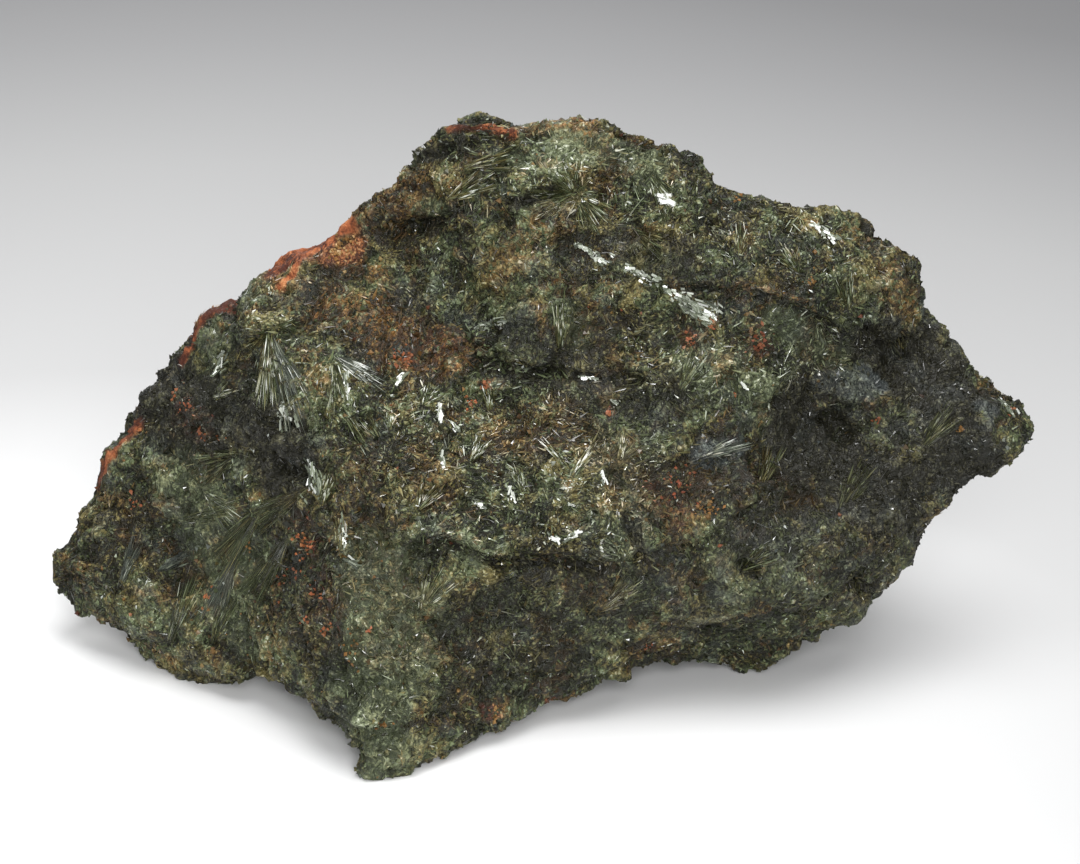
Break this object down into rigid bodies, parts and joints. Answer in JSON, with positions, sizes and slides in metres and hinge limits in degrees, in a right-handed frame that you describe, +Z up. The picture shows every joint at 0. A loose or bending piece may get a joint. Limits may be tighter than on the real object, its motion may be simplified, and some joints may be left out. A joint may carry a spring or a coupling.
{
  "type": "aegirine mineral specimen",
  "caption": "Free-standing hand specimen of dark green aegirine: a wedge-shaped lump of felted needle crystals with fan-like sprays and a rusty crust.",
  "frame": {"origin": "middle of the bounding box in plan, on the plane that the specimen rests on", "axes": "+X from the left tip to the right tip, +Y away from the front face, +Z up"},
  "size_m": [0.1006, 0.0552, 0.0571],
  "materials": {
    "aegirine_stone": "felted dark green needle crystals, satin with small bright glints, rust stains and a red-orange crust"
  },
  "bodies": {
    "root": {"aegirine_mass": "aegirine_stone"}
  },
  "joints": []
}
